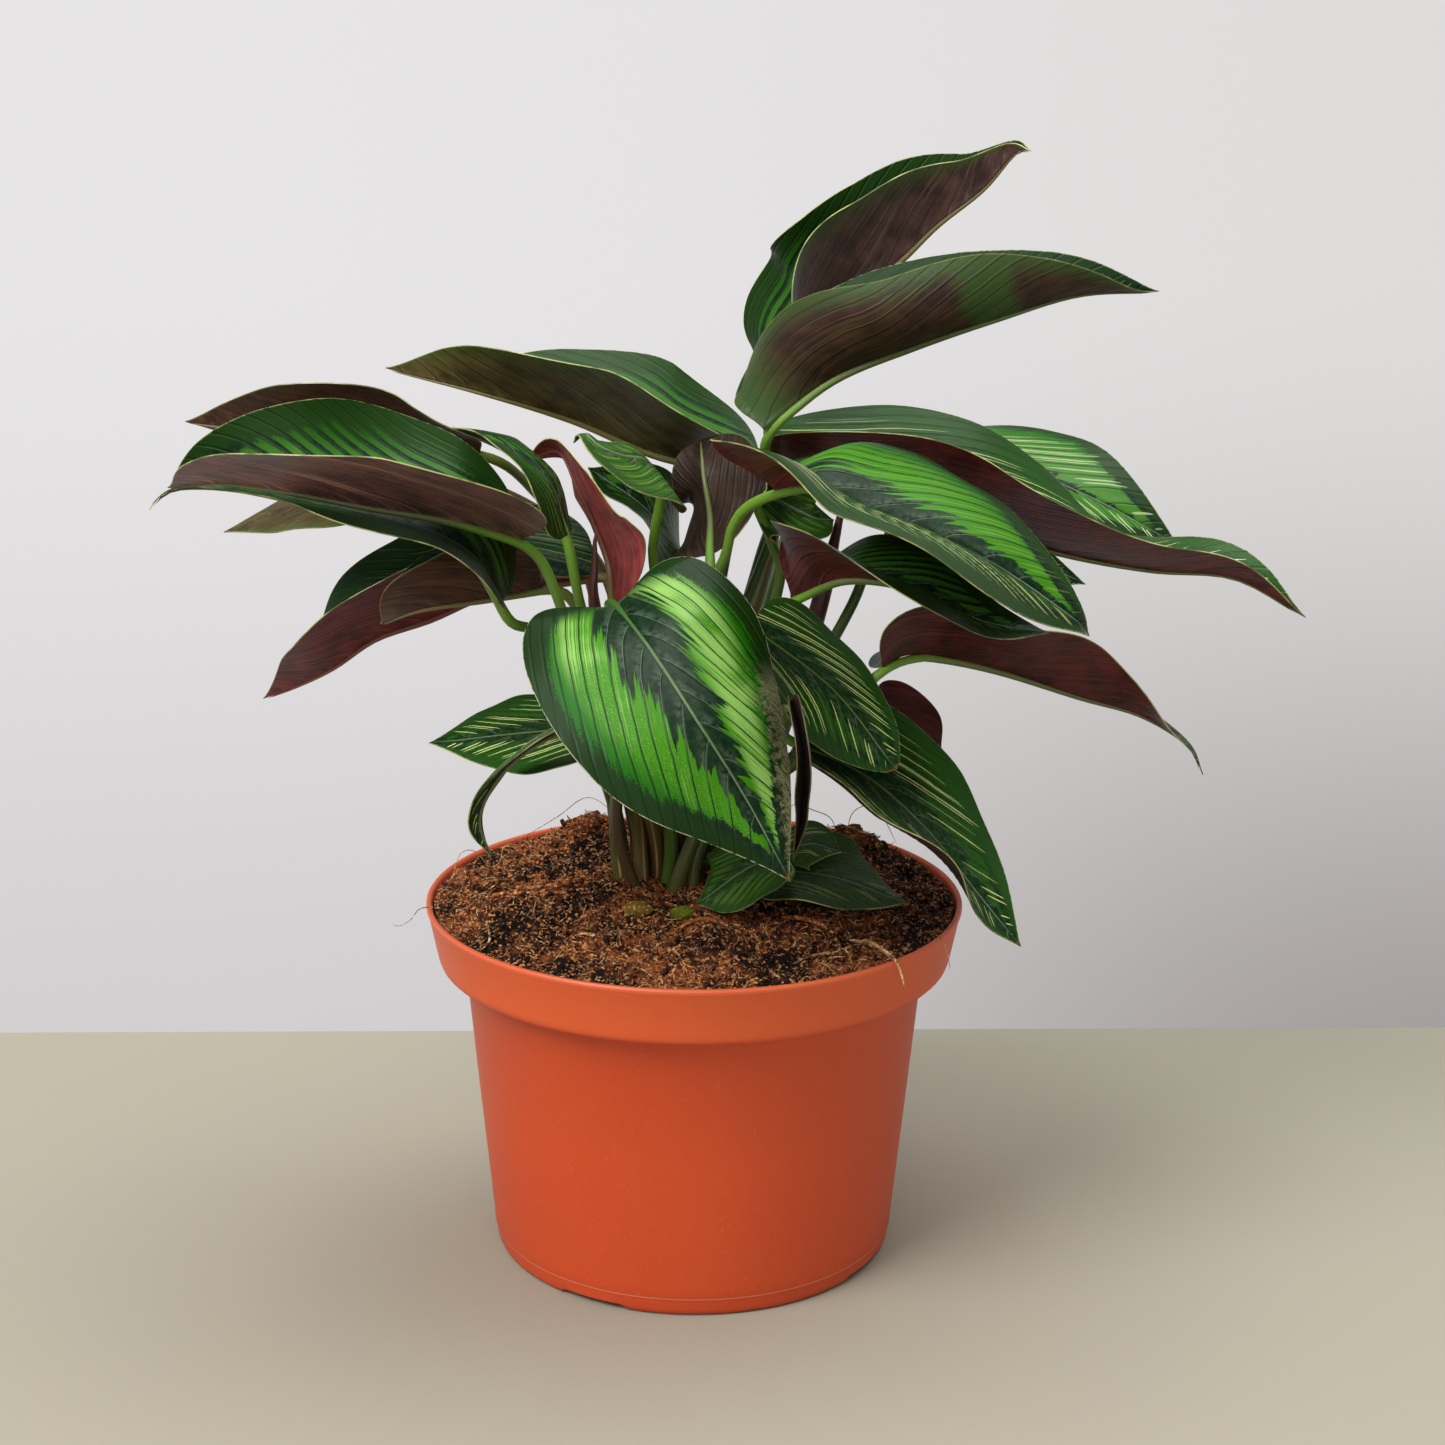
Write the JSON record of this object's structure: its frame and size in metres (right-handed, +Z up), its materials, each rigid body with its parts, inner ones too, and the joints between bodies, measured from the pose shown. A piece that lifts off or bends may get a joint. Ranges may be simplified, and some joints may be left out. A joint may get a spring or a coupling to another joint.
{
  "type": "potted calathea",
  "caption": "Calathea houseplant: broad striped green leaves with purple undersides on slender stalks, in a tapered terracotta-coloured plastic nursery pot with a rim band.",
  "frame": {"origin": "middle of the pot's underside, on the plane that the pot stands on", "axes": "+Z up through the pot's axis, +X to the viewer's right, -Y towards the viewer, the leaves spread widest along X"},
  "size_m": [0.3102, 0.1852, 0.3114],
  "materials": {
    "pot": "satin terracotta-orange plastic",
    "soil": "crumbly brown coir and peat",
    "leaf_green": "satin green with light stripes above, dull purple below",
    "leaf_purple": "dull maroon underside and young growth"
  },
  "bodies": {
    "root": {"pot": "pot", "soil": "soil", "leaf_front": "leaf_green", "leaf_right_pinstripe": "leaf_green", "leaf_right_low": "leaf_green", "leaf_right_drooping": "leaf_green", "leaf_right_front": "leaf_green", "leaf_right_mid": "leaf_green", "leaf_right_long": "leaf_green", "leaf_right_upper": "leaf_green", "leaf_top_right": "leaf_green", "leaf_top": "leaf_green", "leaf_upper_left": "leaf_green", "leaf_left_big": "leaf_green", "leaf_left_back": "leaf_green", "leaf_left_under": "leaf_green", "leaf_left_tip": "leaf_purple", "leaf_left_low": "leaf_green", "leaf_left_low_front": "leaf_green", "leaf_low_left_pinstripe": "leaf_green", "leaf_low_left_twisted": "leaf_green", "leaf_soil_front": "leaf_green", "leaf_soil_tip": "leaf_green", "leaf_soil_right": "leaf_green", "leaf_hanging": "leaf_green", "leaf_centre_wavy": "leaf_green", "leaf_centre_purple": "leaf_purple", "leaf_centre_green": "leaf_green", "leaf_maroon": "leaf_purple", "leaf_left_centre": "leaf_green", "leaf_right_behind": "leaf_green", "leaf_right_low_back": "leaf_green", "leaf_young_centre": "leaf_green", "leaf_rolled": "leaf_purple", "leaf_spike": "leaf_purple"}
  },
  "joints": []
}
